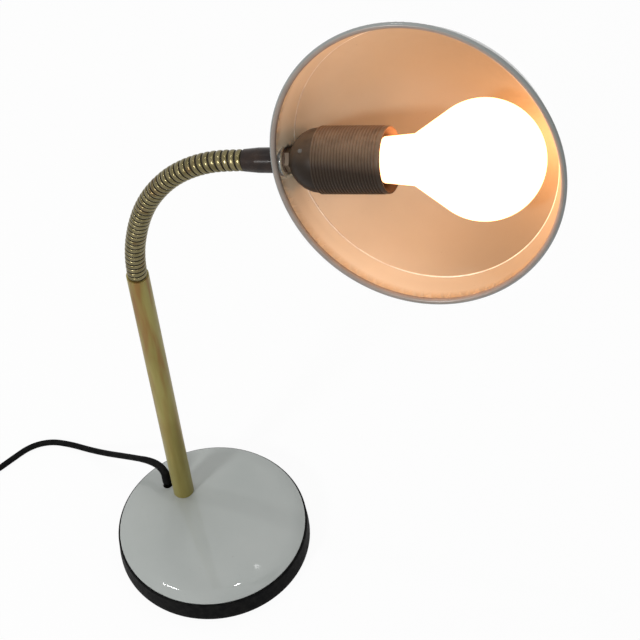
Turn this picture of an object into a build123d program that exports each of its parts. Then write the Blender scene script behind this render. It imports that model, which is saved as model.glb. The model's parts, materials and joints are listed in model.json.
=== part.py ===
"""Gooseneck desk lamp: a weighted round base, a brass stem, a flexible ribbed neck
and a round shade that carries an E27 holder across its own width.

Millimetres, +Z up. The origin is the centre of the base on the table top. The stem
stands towards +Y, and the neck leans out in a vertical plane that points to +X -Y.
"""
from build123d import *
import os
from math import cos, pi, radians, sin, tan

# ------------------------------------------------------------------ fits
FIT = 0.04            # radial gap of a piece that is pushed or screwed home
SEAT = 0.05           # gap under a seated face
SOFT = 0.30           # gap between curved faces of different bodies
CORD_END = 0.25       # gap at a cord's end, where it arrives at a slight angle

# ------------------------------------------------------------------ base
BASE_R = 68.0         # outer radius of the rubber band at the table
BAND_TAPER = 1.0      # how much narrower the band is at its upper edge
BAND_H = 16.0         # height of the band
BAND_WALL = 2.2       # thickness of the band
BAND_FOOT_H = 3.0     # upright foot of the band
BAND_LIP = 1.2        # height of its chamfered lip
COVER_INSET = 1.2     # the cover's edge lies this far inside the band's
PAD_T = 1.5           # thickness of the felt under the base
COVER_T = 1.2         # sheet thickness of the lacquered cover
COVER_TOP = 23.6      # height of the middle of the cover
SHOULDER_IN = 11.0    # the cover starts to fall away this far inside the band's edge
SHOULDER_DROP = 4.0   # how far the cover has fallen at that radius
WEIGHT_T = 12.9       # thickness of the cast disc
BOSS_D = 24.0         # boss that carries the cover under the stem
RECESS_D = 30.0       # recess under the cast disc for the stem nut
RECESS_H = 7.9

# ------------------------------------------------------------------ stem
STEM_Y = 33.4         # distance of the stem from the middle of the base
STEM_D = 14.6
STEM_WALL = 1.0
STEM_TOP = 267.0      # upper end of the stem
NIPPLE_D = 10.0       # hollow threaded rod, M10 x 1
NIPPLE_BORE = 7.0
FOOT_PLUG_L = 16.0    # threaded plug in the foot of the stem
NUT_AF = 17.0         # across flats of the nut under the base
NUT_T = 3.6
WASHER_D = 22.0
WASHER_T = 1.2
LEAD_D = 2.2          # one insulated lead
LEAD_GAP = 0.5        # gap between the two leads

# ------------------------------------------------------------------ neck
NECK_AZ = -52.5       # compass direction of the neck's plane, from +X towards +Y
NECK_D = 13.1         # over the ribs
RIB_R = 1.4           # radius of one rib's section
LINK_L = 13.7         # pivot to pivot
JOINT_ABOVE_STEM = 1.0
END_RIB = 2.45        # first rib's distance from its pivot
CORE_END = 1.10       # core's distance from its pivot
RIBS = 4
CORE_R = 5.3
BALL_R = 4.4
# lean of each link from upright, from the stem on; the last link lies in line with the head
LINK_LEAN = (2.5, 7.5, 12.5, 16.0, 20.5, 26.5, 33.0, 39.5, 48.5, 57.5, 68.0)
NECK_PLUG_L = 14.0    # brass plug in the top of the stem

# ------------------------------------------------------------------ head
HEAD_LEAN = 78.2      # lean of the holder's axis from upright
SHADE_ROLL = -22.2    # turn of the shade about the holder's axis
FERRULE_NECK_D = 13.4
FERRULE_END_D = 15.4
FERRULE_SWELL_D = 15.0
FERRULE_SWELL_AT = 9.0
SPIGOT_D = 8.0        # ferrule's tail in the last link
SPIGOT_L = 8.0
SEAT_AT = 25.3        # outer face of the shade's flat seat, along the holder's axis
NUT_WASHER_D = 14.6
NUT_WASHER_T = 1.2
SHADE_NUT_AF = 12.6
SHADE_NUT_T = 2.8
HEAD_NIPPLE_TAIL = 12.0   # how far the nipple reaches back into the ferrule
HEAD_NIPPLE_NOSE = 8.0    # how far it reaches into the cap

# ------------------------------------------------------------------ shade
RIM_R = 88.2          # outer radius of the rolled rim
BEAD_R = 1.9          # radius of the rolled rim's section
SHADE_T = 1.0
SKIRT_IN_R = 86.9     # outer radius of the skirt behind the rim
CREASE_R = 80.4       # outer radius of the skirt at the crease
CREASE_DEPTH = 19.0
CROWN_ANGLE = 60.0    # slope of the crown at the crease
AXIS_DEPTH = 11.7     # holder's axis behind the plane of the rim
SHADE_CENTRE_AT = 109.2   # shade's own axis, along the holder's axis
SEAT_R = 9.5          # radius of the pressed flat seat

# ------------------------------------------------------------------ holder
CAP_L = 17.9
CAP_R = 19.0
CAP_NOSE_R = 5.9
CAP_WALL = 2.2
JACKET_L = 39.8
JACKET_CREST_D = 40.0
JACKET_ROOT_D = 37.8
JACKET_BORE_D = 33.0
JACKET_RIBS = 15
MOUTH_L = 3.0
MOUTH_D = 39.4
INSERT_T = 9.0
SHELL_D = 29.0        # brass screw shell
SHELL_T = 0.6
SHELL_L = 25.0
TONGUE_W = 6.0
TONGUE_T = 0.6
TERMINAL_D = 4.0
TERMINAL_L = 4.0
TERMINAL_X = 9.0
GRUB_D = 2.6
GRUB_L = 3.0
GRUB_ANGLE = -42.0    # place of the grub screw round the cap
GRUB_AT = 11.4        # its distance along the cap

# ------------------------------------------------------------------ bulb
BULB_R = 35.0
BULB_L = 122.6        # contact to tip
BULB_CAP_D = 26.4
BULB_CAP_L = 25.0
BULB_CAP_BACK_R = 10.5
BULB_CAP_WALL = 0.6
BULB_PITCH = 3.62     # thread of the E27 cap
BULB_THREAD = 1.1     # depth of that thread
BULB_THREADS = 5
BULB_NECK_R = 13.4     # radius of the glass at the cap
BULB_FLARE = 5.0       # degrees by which the neck widens on each side
BULB_CONE = 33.0       # and the cone between neck and globe
BULB_TIP_D = 9.0
BULB_TIP_T = 1.4
BULB_GLASS_T = 1.0
BULB_GAP = 1.0        # contact to tongue

# ------------------------------------------------------------------ mains cord
CORD_D = 4.4
GLAND_D = 6.6
GLAND_FLANGE_D = 9.6
GLAND_FLANGE_T = 1.2
GLAND_DEPTH = 2.0     # flange below the cover's inner face
# the cord's route by hand, from the gland to the switch
ROUTE_LAMP = [
    (-5.5, 45.5, 30.5), (-5.5, 45.5, 36.6), (-6.2, 52.0, 39.6), (-8.6, 62.0, 36.6),
    (-12.3, 75.0, 29.0), (-16.0, 89.0, 20.0), (-20.4, 103.5, 11.2), (-26.0, 119.0, 4.4),
    (-33.2, 133.5, 2.5), (-43.0, 145.8, 2.3), (-57.0, 152.0, 2.4), (-73.5, 151.6, 2.3),
    (-90.0, 150.6, 2.6), (-104.5, 152.2, 4.9), (-117.0, 156.0, 6.0)]
ROUTE_MIDDLE = [
    (-176.3, 174.1, 6.0), (-190.0, 178.6, 5.3), (-201.4, 187.4, 4.2), (-207.2, 200.4, 4.4),
    (-207.6, 213.6, 5.2), (-205.4, 226.0, 6.6)]
ROUTE_PLUG = [
    (-168.0, 263.4, 12.2), (-154.8, 262.6, 10.4), (-141.8, 260.0, 8.0), (-129.0, 257.4, 6.6),
    (-116.5, 258.2, 6.8)]
COIL_AT = (-168.0, 226.0)
COIL_TURN_R = 26.2    # radius of the middle of the eight turns
COIL_SECTION_R = 8.7
TIE_T = 1.0
TIE_W = 7.0
TIE_GAP = 0.50
TIE_ANGLES = (35.0, 235.0)
SWITCH_BODY_L = 48.0
SWITCH_W = 22.0
SWITCH_H = 15.0
SWITCH_WALL = 2.0
SWITCH_NECK_L = 7.0
SWITCH_NECK_D = 9.0
SWITCH_CORNER = 6.0
SWITCH_EDGE = 2.5
SWITCH_SPLIT = 7.4    # height of the joint between the two shells
ROCKER_R = 8.0        # the rocker's ends, about its pin
ROCKER_W = 9.0
ROCKER_BELOW = 2.0
ROCKER_DIP = 2.8      # back of the rocker above its pin, in the middle
ROCKER_LIP = 4.8      # and at its ends
ROCKER_TILT = 7.0     # tilt with one end pressed
ROCKER_PIN_D = 2.4
ROCKER_PIN_L = 1.4
ROCKER_PIN_GAP = 0.08
ROCKER_GAP = 0.3
ROCKER_Z = 11.6       # height of the rocker's pin
SCREW_D = 3.0
SCREW_L = 6.0
SCREW_AT = 19.5       # screws from the middle of the switch
PLUG_L = 36.0
PLUG_W = 25.0
PLUG_T = 13.6
PLUG_BACK_W = 13.0
PLUG_EDGE = 2.5
PLUG_TAIL_L = 9.0
PLUG_TAIL_D = 8.0
PIN_D = 4.0
PIN_L = 19.0
PIN_PITCH = 18.6
PIN_ROOT = 8.0        # pin's length inside the plug

# ------------------------------------------------------------------ derived
BAND_TOP_R = BASE_R - BAND_TAPER
SHOULDER_R = BAND_TOP_R - SHOULDER_IN
STEM_BORE_D = STEM_D - 2 * STEM_WALL
CROWN_R = CREASE_R / sin(radians(CROWN_ANGLE))
CROWN_CENTRE = CREASE_DEPTH - CROWN_R * cos(radians(CROWN_ANGLE))
WALL_IN = SEAT_AT + SHADE_T
NUT_END = WALL_IN + SEAT + NUT_WASHER_T + SHADE_NUT_T
CAP_START = NUT_END + SEAT
JACKET_START = CAP_START + CAP_L
MOUTH = JACKET_START + JACKET_L + MOUTH_L
INSERT_START = JACKET_START + 1.0
INSERT_END = INSERT_START + INSERT_T
BULB_START = INSERT_END + TONGUE_T + BULB_GAP
BULB_TIP = BULB_START + BULB_L
BALL_SOCKET_R = BALL_R + SOFT
BAND_IN_R = BAND_TOP_R - BAND_WALL
WEIGHT_BOTTOM = PAD_T + SEAT
WEIGHT_TOP = WEIGHT_BOTTOM + WEIGHT_T
COVER_EDGE_Z = BAND_H + SEAT
NECK_START = STEM_TOP + JOINT_ABOVE_STEM
INSERT_D = JACKET_BORE_D - 2 * FIT
GLAND_X, GLAND_Y, GLAND_TOP = ROUTE_LAMP[0]
COIL_Z = COIL_SECTION_R + TIE_GAP + TIE_T


# ------------------------------------------------------------------ helpers
def keep(node, *solids):
    """Write one node's solids to its own STEP file."""
    shape = solids[0] if len(solids) == 1 else Compound(children=list(solids))
    export_step(shape, "parts/" + node + ".step")


def rod(radius, start, end, bore=0.0):
    """A round bar or tube along Z from start to end."""
    body = Pos(0, 0, (start + end) / 2) * Cylinder(radius, end - start)
    if bore:
        body -= Pos(0, 0, (start + end) / 2) * Cylinder(bore, end - start + 2)
    return body


def turned(points):
    """A solid of revolution about Z from (radius, height) points."""
    outline = Polyline(*[(r, 0, z) for r, z in points], close=True)
    return revolve(make_face(outline), Axis.Z)


def hexagon(across_flats, start, end, bore):
    """A hexagonal nut along Z."""
    sides = extrude(RegularPolygon(across_flats / 2, 6, major_radius=False), end - start)
    return Pos(0, 0, start) * sides - rod(bore, start - 1, end + 1)


def route_radii(points):
    """The largest sensible arc for each corner of a cord's route."""
    radii = []
    for a, b, c in zip(points, points[1:], points[2:]):
        first = Vector(*b) - Vector(*a)
        second = Vector(*c) - Vector(*b)
        half = radians(first.get_angle(second)) / 2
        radii.append(0.45 * min(first.length, second.length) / tan(half))
    return radii


def cord_tube(name, points):
    """A cord along straight runs and tangent arcs."""
    radii = route_radii(points)
    path = FilletPolyline(*points, radius=radii)
    start = Plane(origin=points[0], z_dir=Vector(*points[1]) - Vector(*points[0]))
    tube = sweep(start * Circle(CORD_D / 2), path=path)
    section = pi * CORD_D ** 2 / 4
    print(name, "radii", [round(r, 1) for r in radii])
    print(name, "length", round(path.length, 1), "volume ratio",
          round(tube.volume / (section * path.length), 4))
    return tube


# ------------------------------------------------------------------ base
def cover_height(r):
    """Height of the cover's outer face at radius r, inside the shoulder."""
    return COVER_TOP - SHOULDER_DROP * (r / SHOULDER_R) ** 2


def under_cover(drop, edge_r, bottom):
    """Everything under the cover's outer face, lowered by drop, down to bottom."""
    crown = ThreePointArc((0, COVER_TOP - drop), (SHOULDER_R / 2, cover_height(SHOULDER_R / 2) - drop),
                          (SHOULDER_R, cover_height(SHOULDER_R) - drop))
    fall = TangentArc(crown @ 1, (edge_r, COVER_EDGE_Z + SEAT + 0.5 - drop), tangent=crown % 1)
    rest = Polyline(fall @ 1, (edge_r, bottom), (0, bottom), crown @ 0)
    return revolve(Plane.XZ * make_face(Curve() + [crown, fall, rest]), Axis.Z)


def at_stem(shape):
    return Pos(0, STEM_Y, 0) * shape


def base_cover():
    """Lacquered sheet cover with a ledge on the band and a skirt inside it."""
    edge_r = BAND_TOP_R - COVER_INSET
    skirt_r = BAND_IN_R - FIT
    cover = under_cover(0, edge_r, COVER_EDGE_Z)
    cover -= under_cover(COVER_T, edge_r - COVER_T, COVER_EDGE_Z - 1)
    cover += rod(edge_r, COVER_EDGE_Z, COVER_EDGE_Z + 0.5, skirt_r - COVER_T)
    cover += rod(skirt_r, PAD_T + 1, COVER_EDGE_Z + 0.5, skirt_r - COVER_T)
    cover -= at_stem(rod(NIPPLE_D / 2 + FIT, 0, COVER_TOP + 5))
    cover -= Pos(GLAND_X, GLAND_Y, 0) * rod(GLAND_D / 2 + FIT, 0, COVER_TOP + 5)
    return cover


def base_band():
    """Rubber band round the base, slightly wider at the table."""
    return turned([(BAND_IN_R, 0), (BASE_R, 0), (BASE_R, BAND_FOOT_H),
                   (BAND_TOP_R + 0.2, BAND_H - BAND_LIP), (BAND_TOP_R - 0.5, BAND_H),
                   (BAND_IN_R, BAND_H)])


def base_weight():
    """Cast iron disc with a boss up to the cover and a recess for the nut."""
    disc_r = BAND_IN_R - FIT - COVER_T - SOFT
    weight = rod(disc_r, WEIGHT_BOTTOM, WEIGHT_TOP)
    weight += at_stem(rod(BOSS_D / 2, WEIGHT_TOP - 1, COVER_TOP)) & under_cover(
        COVER_T + SEAT, disc_r, WEIGHT_TOP - 2)
    weight -= at_stem(rod(RECESS_D / 2, WEIGHT_BOTTOM - 1, WEIGHT_BOTTOM + RECESS_H))
    weight -= at_stem(rod(NIPPLE_D / 2 + FIT, 0, COVER_TOP))
    weight -= Pos(GLAND_X, GLAND_Y, 0) * rod(GLAND_FLANGE_D / 2 + 1, WEIGHT_TOP - 2, COVER_TOP)
    return weight


def base_pad():
    return rod(BAND_IN_R - SOFT, 0, PAD_T)


# ------------------------------------------------------------------ stem
RECESS_ROOF = WEIGHT_BOTTOM + RECESS_H
WASHER_BOTTOM = RECESS_ROOF - SEAT - WASHER_T
NUT_BOTTOM = WASHER_BOTTOM - SEAT - NUT_T
FOOT = cover_height(STEM_Y)
FOOT_PLUG_START = FOOT + 1.0
PLUG_START = STEM_TOP - NECK_PLUG_L


def stem_tube():
    """Brass tube, its foot cut to the slope of the cover."""
    tube = at_stem(rod(STEM_D / 2, COVER_TOP - SHOULDER_DROP - 3, STEM_TOP, STEM_BORE_D / 2))
    return tube - under_cover(-SEAT, BAND_TOP_R, 0)


def stem_foot_plug():
    start = FOOT_PLUG_START
    return at_stem(rod(STEM_BORE_D / 2 - FIT, start, start + FOOT_PLUG_L, NIPPLE_D / 2 + FIT))


def stem_nipple():
    top = FOOT_PLUG_START + FOOT_PLUG_L - 2
    return at_stem(rod(NIPPLE_D / 2, NUT_BOTTOM - 0.6, top, NIPPLE_BORE / 2))


def stem_washer():
    return at_stem(rod(WASHER_D / 2, WASHER_BOTTOM, WASHER_BOTTOM + WASHER_T, NIPPLE_D / 2 + FIT))


def stem_nut():
    return at_stem(hexagon(NUT_AF, NUT_BOTTOM, NUT_BOTTOM + NUT_T, NIPPLE_D / 2 + FIT))


def stem_leads():
    """The two insulated leads on their way up the stem."""
    side = (LEAD_D + LEAD_GAP) / 2
    lead = rod(LEAD_D / 2, NUT_BOTTOM, PLUG_START + NECK_PLUG_L / 2)
    return [at_stem(Pos(x, 0, 0) * lead) for x in (-side, side)]


def neck_plug():
    """Brass plug in the top of the stem, with the first ball of the neck."""
    plug = rod(STEM_BORE_D / 2 - FIT, PLUG_START, NECK_START - CORE_END)
    plug += Pos(0, 0, NECK_START) * Sphere(BALL_R)
    plug -= rod(LEAD_D + LEAD_GAP / 2 + SOFT, PLUG_START - 1, PLUG_START + NECK_PLUG_L / 2 + 1)
    return at_stem(plug)


# ------------------------------------------------------------------ neck
NECK_OUT = Vector(cos(radians(NECK_AZ)), sin(radians(NECK_AZ)), 0)
NECK_SIDE = Vector(0, 0, 1).cross(NECK_OUT)


def heading(lean):
    """Unit vector in the neck's plane, leaning out from upright."""
    return NECK_OUT * sin(radians(lean)) + Vector(0, 0, cos(radians(lean)))


def neck_frames():
    """One plane per link: origin at its lower pivot, Z along the link."""
    at = Vector(0, STEM_Y, NECK_START)
    frames = []
    for lean in LINK_LEAN + (HEAD_LEAN,):
        frames.append(Plane(origin=at, x_dir=NECK_SIDE, z_dir=heading(lean)))
        at = at + heading(lean) * LINK_L
    return frames, at


def neck_link(last):
    """A ribbed length of the neck with a socket below and a ball above."""
    top = LINK_L - (SEAT if last else CORE_END)
    pitch = (LINK_L - 2 * END_RIB) / (RIBS - 1)
    profile = Pos(CORE_R / 2, (CORE_END + top) / 2) * Rectangle(CORE_R, top - CORE_END)
    for i in range(RIBS):
        profile += Pos(NECK_D / 2 - RIB_R, END_RIB + i * pitch) * Circle(RIB_R)
    link = revolve(Plane.XZ * profile, Axis.Z)
    if last:
        link -= rod(SPIGOT_D / 2 + FIT, LINK_L - SPIGOT_L - 0.5, LINK_L + 1)
    else:
        link += Pos(0, 0, LINK_L) * Sphere(BALL_R)
    return link - Sphere(BALL_SOCKET_R)


# ------------------------------------------------------------------ head
def ferrule():
    """Tapered sleeve from the neck to the shade, with a tail in the last link."""
    end = SEAT_AT - SEAT
    body = turned([(0, 0), (FERRULE_NECK_D / 2, 0), (FERRULE_SWELL_D / 2, FERRULE_SWELL_AT),
                   (FERRULE_END_D / 2, end), (0, end)])
    body += rod(SPIGOT_D / 2, -SPIGOT_L, 1)
    body -= rod(NIPPLE_D / 2 + FIT, SEAT_AT - HEAD_NIPPLE_TAIL - SOFT, end + 1)
    return body - rod(LEAD_D, -SPIGOT_L - 1, end)


def head_nipple():
    return rod(NIPPLE_D / 2, SEAT_AT - HEAD_NIPPLE_TAIL, CAP_START + HEAD_NIPPLE_NOSE, NIPPLE_BORE / 2)


def shade_washer():
    start = WALL_IN + SEAT
    return rod(NUT_WASHER_D / 2, start, start + NUT_WASHER_T, NIPPLE_D / 2 + FIT)


def shade_nut():
    start = NUT_END - SHADE_NUT_T + SEAT / 2
    return hexagon(SHADE_NUT_AF, start, NUT_END, NIPPLE_D / 2 + FIT)


def shade_fill(inset, seat_r, step_r):
    """Solid of the shade's outer or inner face: depth is +Z, the neck is on +X."""
    crown_r = CROWN_R - inset
    crease_r = CREASE_R - inset
    crease_z = CROWN_CENTRE + (crown_r ** 2 - crease_r ** 2) ** 0.5
    middle = crown_r * sin(radians(CROWN_ANGLE / 2))
    dome = ThreePointArc((crease_r, crease_z), (middle, CROWN_CENTRE + (crown_r ** 2 - middle ** 2) ** 0.5),
                         (0, CROWN_CENTRE + crown_r))
    mouth = 2 * BEAD_R - 1.0 if inset == 0 else -1.0
    skirt = Polyline(dome @ 1, (0, mouth), (SKIRT_IN_R - inset, mouth), (SKIRT_IN_R - inset, 3.0),
                     dome @ 0)
    fill = revolve(Plane.XZ * make_face(Curve() + [dome, skirt]), Axis.Z)
    seat_at = SHADE_CENTRE_AT - SEAT_AT - inset
    outward = Pos(0, 0, AXIS_DEPTH) * Rot(0, 90, 0)
    fill -= outward * rod(seat_r, seat_at, RIM_R + 5)
    return fill + outward * rod(step_r, CREASE_R * 0.7, seat_at)


def shade():
    """Spun shade: rolled rim, short skirt, crease, domed crown and a pressed flat seat."""
    wall = shade_fill(0, SEAT_R - SHADE_T, SEAT_R) - shade_fill(SHADE_T, SEAT_R, SEAT_R - SHADE_T)
    bead = Pos(0, 0, BEAD_R) * Torus(RIM_R - BEAD_R, BEAD_R)
    wall += bead
    across = Pos(0, 0, AXIS_DEPTH) * Rot(0, 90, 0)
    wall -= across * rod(NIPPLE_D / 2 + FIT, CREASE_R * 0.7, RIM_R + 5)
    stand = Plane(origin=(AXIS_DEPTH, 0, SHADE_CENTRE_AT), x_dir=(0, 0, -1), z_dir=(-1, 0, 0))
    return stand * wall


# ------------------------------------------------------------------ holder
def nose_radius(along):
    """Radius of the cap's rounded nose, along from its narrow end."""
    reach = CAP_L / (1 - (CAP_NOSE_R / CAP_R) ** 2) ** 0.5
    return CAP_R * (1 - ((CAP_L - along) / reach) ** 2) ** 0.5


def holder_cap():
    """Rounded bakelite cap with a threaded neck for the nipple."""
    steps = 12
    outer = [(nose_radius(CAP_L * i / steps), CAP_L * i / steps) for i in range(steps + 1)]
    inner = [(max(r - CAP_WALL, NIPPLE_D / 2 + 2), z) for r, z in outer if z > 2 * CAP_WALL]
    bore = NIPPLE_D / 2 + FIT
    nose = Spline(*outer)
    cup = Spline(*inner)
    edge = Polyline(nose @ 1, (inner[-1][0], CAP_L))
    back = Polyline(cup @ 0, (bore, inner[0][1]), (bore, 0), nose @ 0)
    cap = revolve(Plane.XZ * make_face(Curve() + [nose, edge, cup, back]), Axis.Z)
    hole = Rot(0, 0, GRUB_ANGLE) * Pos(0, 0, GRUB_AT) * Rot(0, 90, 0) * rod(GRUB_D / 2 + FIT, 10, 30)
    return Pos(0, 0, CAP_START) * (cap - hole)


def grub_screw():
    end = nose_radius(GRUB_AT) + 0.3
    screw = Rot(0, 90, 0) * rod(GRUB_D / 2, end - GRUB_L, end)
    return Pos(0, 0, CAP_START + GRUB_AT) * Rot(0, 0, GRUB_ANGLE) * screw


def holder_jacket():
    """Bakelite jacket with the coarse outer thread of a shade holder."""
    crest = JACKET_CREST_D / 2
    root = JACKET_ROOT_D / 2
    pitch = JACKET_L / JACKET_RIBS
    start = JACKET_START + SEAT
    points = [(JACKET_BORE_D / 2, start), (root, start)]
    for i in range(JACKET_RIBS):
        z = JACKET_START + i * pitch
        points += [(root, z + 0.20 * pitch), (crest, z + 0.42 * pitch),
                   (crest, z + 0.62 * pitch), (root, z + 0.84 * pitch)]
    points += [(root, MOUTH - MOUTH_L), (MOUTH_D / 2, MOUTH - MOUTH_L + 0.6),
               (MOUTH_D / 2, MOUTH - 0.6), (MOUTH_D / 2 - 0.6, MOUTH), (JACKET_BORE_D / 2, MOUTH)]
    return turned(points)


def holder_insert():
    """Ceramic disc that carries the terminals and the brass shell."""
    disc = rod(INSERT_D / 2, INSERT_START, INSERT_END)
    for x in (-TERMINAL_X, TERMINAL_X):
        disc -= Pos(x, 0, 0) * rod(TERMINAL_D / 4 + FIT, INSERT_START - 1, INSERT_START + TERMINAL_L)
    return disc


def terminal_screws():
    head_start = INSERT_START - SEAT - 1.6
    screw = rod(TERMINAL_D / 2, head_start, INSERT_START - SEAT)
    screw += rod(TERMINAL_D / 4, head_start, INSERT_START + TERMINAL_L - 1)
    return [Pos(x, 0, 0) * screw for x in (-TERMINAL_X, TERMINAL_X)]


def holder_shell():
    return rod(SHELL_D / 2, INSERT_END + SEAT, INSERT_END + SHELL_L, SHELL_D / 2 - SHELL_T)


def holder_tongue():
    start = INSERT_END + SEAT
    return Pos(0, 0, start + TONGUE_T / 2) * Box(TONGUE_W * 2, TONGUE_W, TONGUE_T)


# ------------------------------------------------------------------ bulb
BULB_CAP_START = BULB_START + BULB_TIP_T + 1.6
GLASS_START = BULB_CAP_START + BULB_CAP_L + SEAT
GLOBE_AT = BULB_TIP - BULB_R


def bulb_outline(inset):
    """The glass as one solid: flared neck, cone and globe."""
    neck = BULB_NECK_R - inset
    globe = BULB_R - inset
    start = GLASS_START + inset
    cone = radians(BULB_CONE)
    flare = tan(radians(BULB_FLARE))
    touch = (globe * cos(cone), GLOBE_AT - globe * sin(cone))
    meet = (neck - touch[0] + touch[1] * tan(cone) - start * flare) / (tan(cone) - flare)
    corner = (neck + (meet - start) * flare, meet)
    side = Polyline((0, start), (neck, start), corner, touch)
    arc = ThreePointArc(touch, (globe * cos(cone), GLOBE_AT + globe * sin(cone)),
                        (0, GLOBE_AT + globe))
    close = Line(arc @ 1, side @ 0)
    return revolve(Plane.XZ * make_face(Curve() + [side, arc, close]), Axis.Z)


def bulb_glass():
    return bulb_outline(0) - bulb_outline(BULB_GLASS_T)


def bulb_cap():
    """Hollow screw cap of the bulb, with its threads as rings."""
    end = BULB_CAP_START + BULB_CAP_L
    root = BULB_CAP_D / 2 - BULB_THREAD
    points = [(0, BULB_CAP_START), (BULB_CAP_BACK_R, BULB_CAP_START)]
    for i in range(BULB_THREADS):
        z = BULB_CAP_START + 2.0 + i * BULB_PITCH
        points += [(root, z), (BULB_CAP_D / 2, z + BULB_PITCH / 2)]
    points += [(root, z + BULB_PITCH), (BULB_NECK_R - 0.4, end), (0, end)]
    inside = turned([(0, BULB_CAP_START + BULB_CAP_WALL),
                     (BULB_CAP_BACK_R - BULB_CAP_WALL, BULB_CAP_START + BULB_CAP_WALL),
                     (root - BULB_CAP_WALL, BULB_CAP_START + 2.0), (root - BULB_CAP_WALL, end + 1),
                     (0, end + 1)])
    return turned(points) - inside


def bulb_insulator():
    start = BULB_START + BULB_TIP_T + SEAT
    return turned([(0, start), (BULB_TIP_D / 2, start), (10.0, BULB_CAP_START - SEAT),
                   (0, BULB_CAP_START - SEAT)])


def bulb_contact():
    return rod(BULB_TIP_D / 2, BULB_START, BULB_START + BULB_TIP_T)


# ------------------------------------------------------------------ mains cord
def cord_gland():
    """Black sleeve that stands on the cover, with a flange under it."""
    under = cover_height((GLAND_X ** 2 + GLAND_Y ** 2) ** 0.5) - COVER_T - 1.0
    sleeve = rod(GLAND_D / 2, under - GLAND_DEPTH, GLAND_TOP - SEAT)
    sleeve += rod(GLAND_FLANGE_D / 2, under - GLAND_FLANGE_T, under)
    return Pos(GLAND_X, GLAND_Y, 0) * sleeve


def along(route, last):
    """Plane on the table at the start or end of a route, X along the cord."""
    a, b = (route[-2], route[-1]) if last else (route[1], route[0])
    x_dir = Vector(b[0] - a[0], b[1] - a[1], 0)
    return Plane(origin=(b[0], b[1], 0), x_dir=x_dir, z_dir=(0, 0, 1))


def switch_frame():
    """Plane on the table under the middle of the switch."""
    a = Vector(*ROUTE_LAMP[-1])
    b = Vector(*ROUTE_MIDDLE[0])
    middle = (a + b) * 0.5
    flat = Vector(b.X - a.X, b.Y - a.Y, 0)
    return Plane(origin=(middle.X, middle.Y, 0), x_dir=flat, z_dir=(0, 0, 1)), flat.length


def switch_block(reach):
    """The switch as one block with a round neck at each end."""
    outline = Rectangle(SWITCH_BODY_L, SWITCH_W)
    block = extrude(fillet(outline.vertices(), SWITCH_CORNER), SWITCH_H)
    block = fillet(block.faces().sort_by(Axis.Z)[-1].edges(), SWITCH_EDGE)
    inlet = ROUTE_LAMP[-1][2]
    neck = Pos(0, 0, inlet) * Rot(0, 90, 0) * rod(SWITCH_NECK_D / 2, -reach + CORD_END, reach - CORD_END)
    return block + neck


def switch_shells():
    """Lower and upper shell of the switch."""
    frame, gap = switch_frame()
    block = switch_block(gap / 2)
    inside = Box(SWITCH_BODY_L - 4 * SWITCH_WALL, SWITCH_W - 2 * SWITCH_WALL, SWITCH_SPLIT - SWITCH_WALL,
                 align=(Align.CENTER, Align.CENTER, Align.MIN))
    below = Box(200, 60, SWITCH_SPLIT - SEAT / 2, align=(Align.CENTER, Align.CENTER, Align.MIN))
    lower = (block & below) - Pos(0, 0, SWITCH_WALL) * inside
    upper = block - Pos(0, 0, -20) * Box(200, 60, 20 + SWITCH_SPLIT + SEAT / 2,
                                         align=(Align.CENTER, Align.CENTER, Align.MIN))
    turning = Pos(0, 0, ROCKER_Z) * Rot(90, 0, 0)
    upper -= turning * Cylinder(ROCKER_R + ROCKER_GAP, ROCKER_W + 2 * ROCKER_GAP)
    upper -= turning * Cylinder(ROCKER_PIN_D / 2 + ROCKER_PIN_GAP,
                                ROCKER_W + 2 * ROCKER_PIN_L + 4 * ROCKER_GAP)
    for x in (-SCREW_AT, SCREW_AT):
        lower -= Pos(x, 0, 0) * rod(SCREW_D / 2 + FIT, -1, SWITCH_SPLIT + 1)
        upper -= Pos(x, 0, 0) * rod(SCREW_D / 2 + FIT, 0, SWITCH_SPLIT + 3)
    return frame * lower, frame * upper


def switch_screws():
    frame, gap = switch_frame()
    screw = rod(SCREW_D / 2, 1.0, 1.0 + SCREW_L + 2)
    return [frame * Pos(x, 0, 0) * screw for x in (-SCREW_AT, SCREW_AT)]


def switch_rocker():
    """Rocker on a cross pin, at rest with the lamp's end pressed."""
    frame, gap = switch_frame()
    reach = ROCKER_R + 1
    side = Polyline((-reach, -ROCKER_BELOW), (reach, -ROCKER_BELOW), (reach, ROCKER_LIP),
                    (0, ROCKER_DIP), (-reach, ROCKER_LIP), close=True)
    wedge = extrude(Plane.XZ * make_face(side), ROCKER_W / 2, both=True)
    rocker = wedge & Rot(90, 0, 0) * Cylinder(ROCKER_R, ROCKER_W)
    rocker += Rot(90, 0, 0) * Cylinder(ROCKER_PIN_D / 2, ROCKER_W + 2 * ROCKER_PIN_L)
    return frame * Pos(0, 0, ROCKER_Z) * Rot(0, -ROCKER_TILT, 0) * rocker


def cord_coil():
    return Pos(COIL_AT[0], COIL_AT[1], COIL_Z) * Torus(COIL_TURN_R, COIL_SECTION_R)


def coil_ties():
    """Two straps round the bundle; the coil rests on them."""
    inner = COIL_SECTION_R + TIE_GAP
    strap = Rot(90, 0, 0) * rod(inner + TIE_T, -TIE_W / 2, TIE_W / 2, inner)
    middle = Pos(COIL_AT[0], COIL_AT[1], COIL_Z)
    return [middle * Rot(0, 0, a) * Pos(COIL_TURN_R, 0, 0) * strap for a in TIE_ANGLES]


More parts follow.
